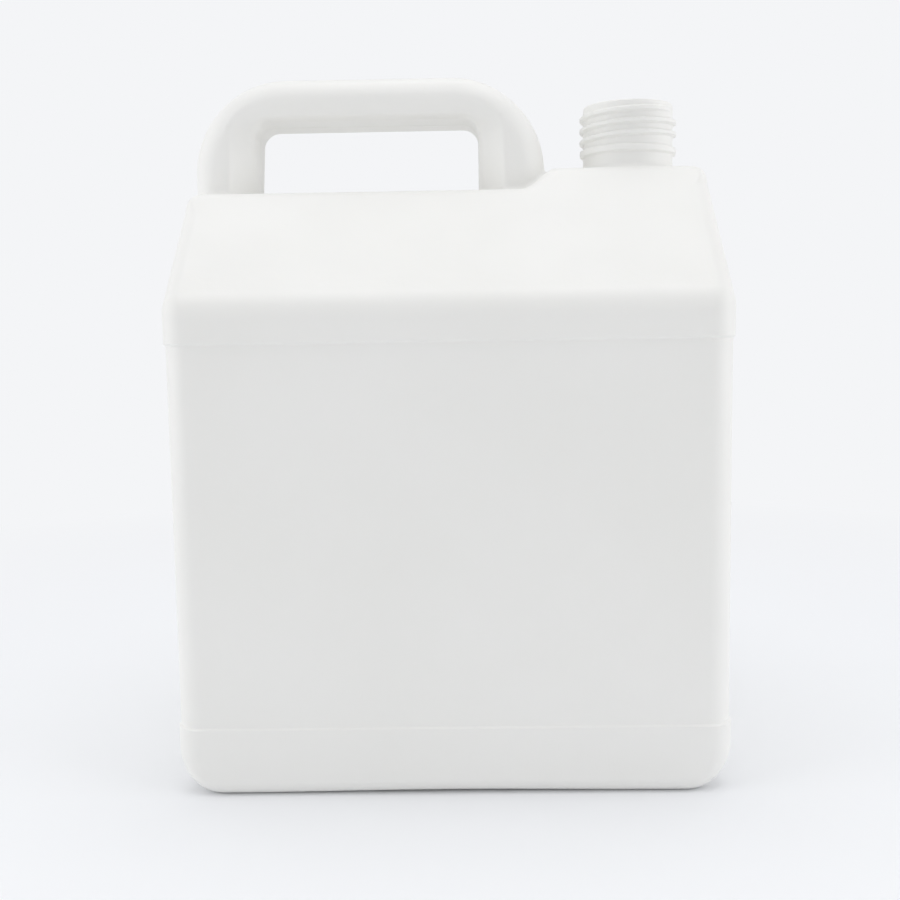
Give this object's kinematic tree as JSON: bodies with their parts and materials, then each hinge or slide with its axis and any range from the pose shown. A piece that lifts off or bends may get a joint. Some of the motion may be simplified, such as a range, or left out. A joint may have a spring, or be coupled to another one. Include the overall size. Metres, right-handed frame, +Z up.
{
  "type": "square plastic jug",
  "caption": "Hollow square jug with a sloping roof, a loop handle over a low deck and an open screw neck for pouring and filling.",
  "frame": {"origin": "middle of the base, on the surface that the jug stands on", "axes": "+Z up, +X towards the neck, -Y out of the front face"},
  "size_m": [0.1914, 0.147, 0.2523],
  "materials": {
    "shell": "natural white polyethylene, satin, faintly grained"
  },
  "bodies": {
    "root": {"jug": "shell"}
  },
  "joints": []
}
